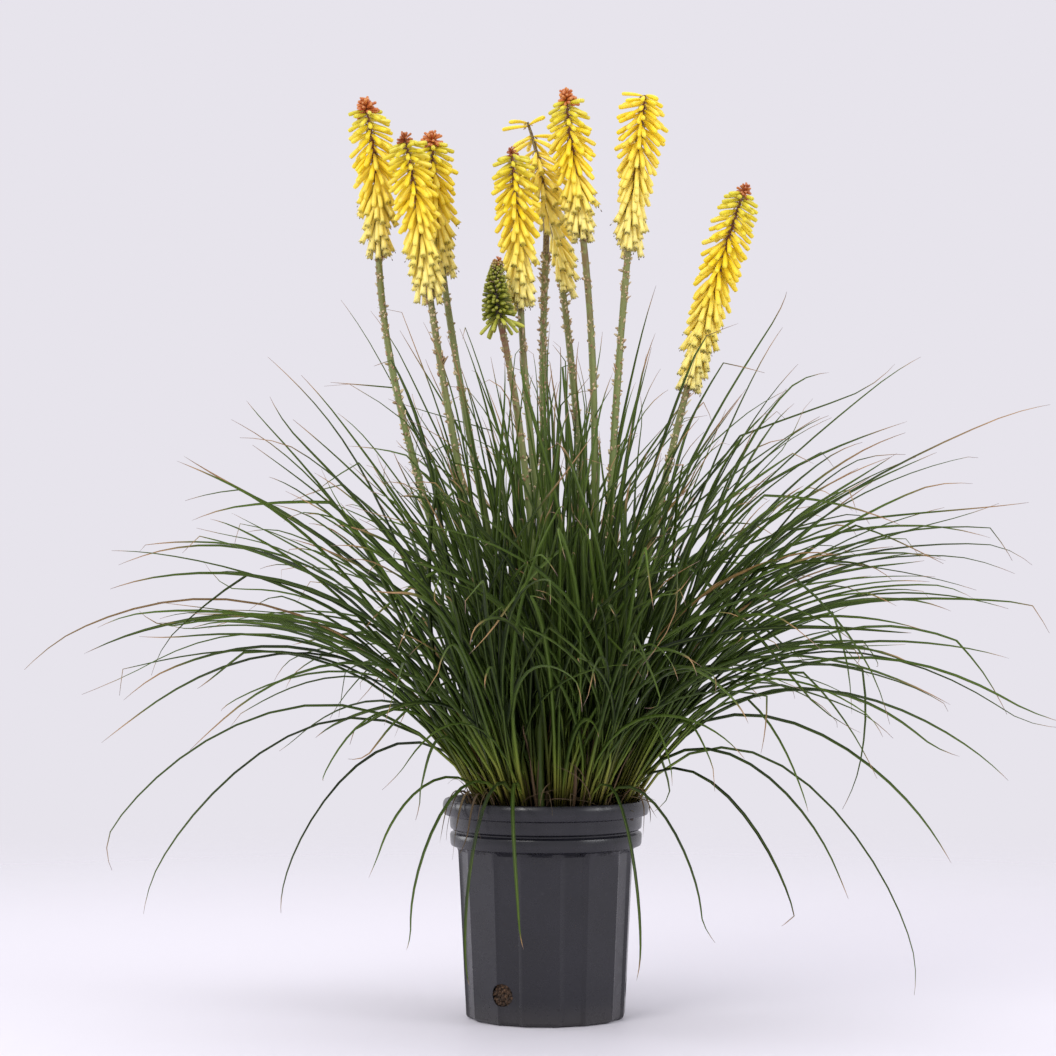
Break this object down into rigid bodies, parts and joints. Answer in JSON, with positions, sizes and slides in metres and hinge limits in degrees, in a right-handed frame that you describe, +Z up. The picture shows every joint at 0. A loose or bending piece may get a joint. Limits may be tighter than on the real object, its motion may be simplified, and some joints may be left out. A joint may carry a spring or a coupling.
{
  "type": "potted torch lily",
  "caption": "Torch lily in bloom in a round dark grey nursery pot, with grass-like leaves and yellow flower spikes tipped with orange-red buds.",
  "frame": {"origin": "middle of the flat underside of the pot", "axes": "+Z up along the pot, +X to the right in the front view along the widest spread of the leaves, -Y towards the viewer"},
  "size_m": [1.057, 0.8958, 0.958],
  "materials": {
    "pot_plastic": "dark grey polyethylene with a soft sheen and light scuffs",
    "potting_mix": "dark moist potting mix of bark and peat, with the density of loose wood",
    "leaf": "satin green blades, paler at the base and dry tan at the tips",
    "flower_stem": "satin yellow-green stalk, flushed with maroon below the flowers",
    "yellow_floret": "waxy yellow petals, greenish at the top and pale at the bottom of the spike",
    "green_bud": "waxy olive green buds",
    "orange_bud": "waxy orange-red buds"
  },
  "bodies": {
    "root": {"pot": "pot_plastic", "soil": "potting_mix", "leaf_tuft_01": "leaf", "leaf_tuft_02": "leaf", "leaf_tuft_03": "leaf", "leaf_tuft_04": "leaf", "leaf_tuft_05": "leaf", "leaf_tuft_06": "leaf", "leaf_tuft_07": "leaf", "leaf_tuft_08": "leaf", "leaf_tuft_09": "leaf", "leaf_tuft_10": "leaf", "leaf_tuft_11": "leaf", "leaf_tuft_12": "leaf", "leaf_tuft_13": "leaf", "leaf_tuft_14": "leaf", "leaf_tuft_15": "leaf", "leaf_tuft_16": "leaf", "leaf_tuft_17": "leaf", "leaf_tuft_18": "leaf", "leaf_tuft_19": "leaf", "flower_stem_a": "flower_stem", "flower_spike_a": "yellow_floret", "bud_tip_a": "orange_bud", "flower_stem_b": "flower_stem", "flower_spike_b": "yellow_floret", "bud_tip_b": "orange_bud", "flower_stem_c": "flower_stem", "flower_spike_c": "yellow_floret", "bud_tip_c": "orange_bud", "flower_stem_d": "flower_stem", "flower_spike_d": "green_bud", "bud_tip_d": "orange_bud", "flower_stem_e": "flower_stem", "flower_spike_e": "yellow_floret", "bud_tip_e": "orange_bud", "flower_stem_f": "flower_stem", "flower_spike_f": "yellow_floret", "flower_stem_g": "flower_stem", "flower_spike_g": "yellow_floret", "bud_tip_g": "orange_bud", "flower_stem_h": "flower_stem", "flower_spike_h": "yellow_floret", "flower_stem_i": "flower_stem", "flower_spike_i": "yellow_floret", "bud_tip_i": "orange_bud", "flower_stem_j": "flower_stem", "flower_spike_j": "yellow_floret"}
  },
  "joints": []
}
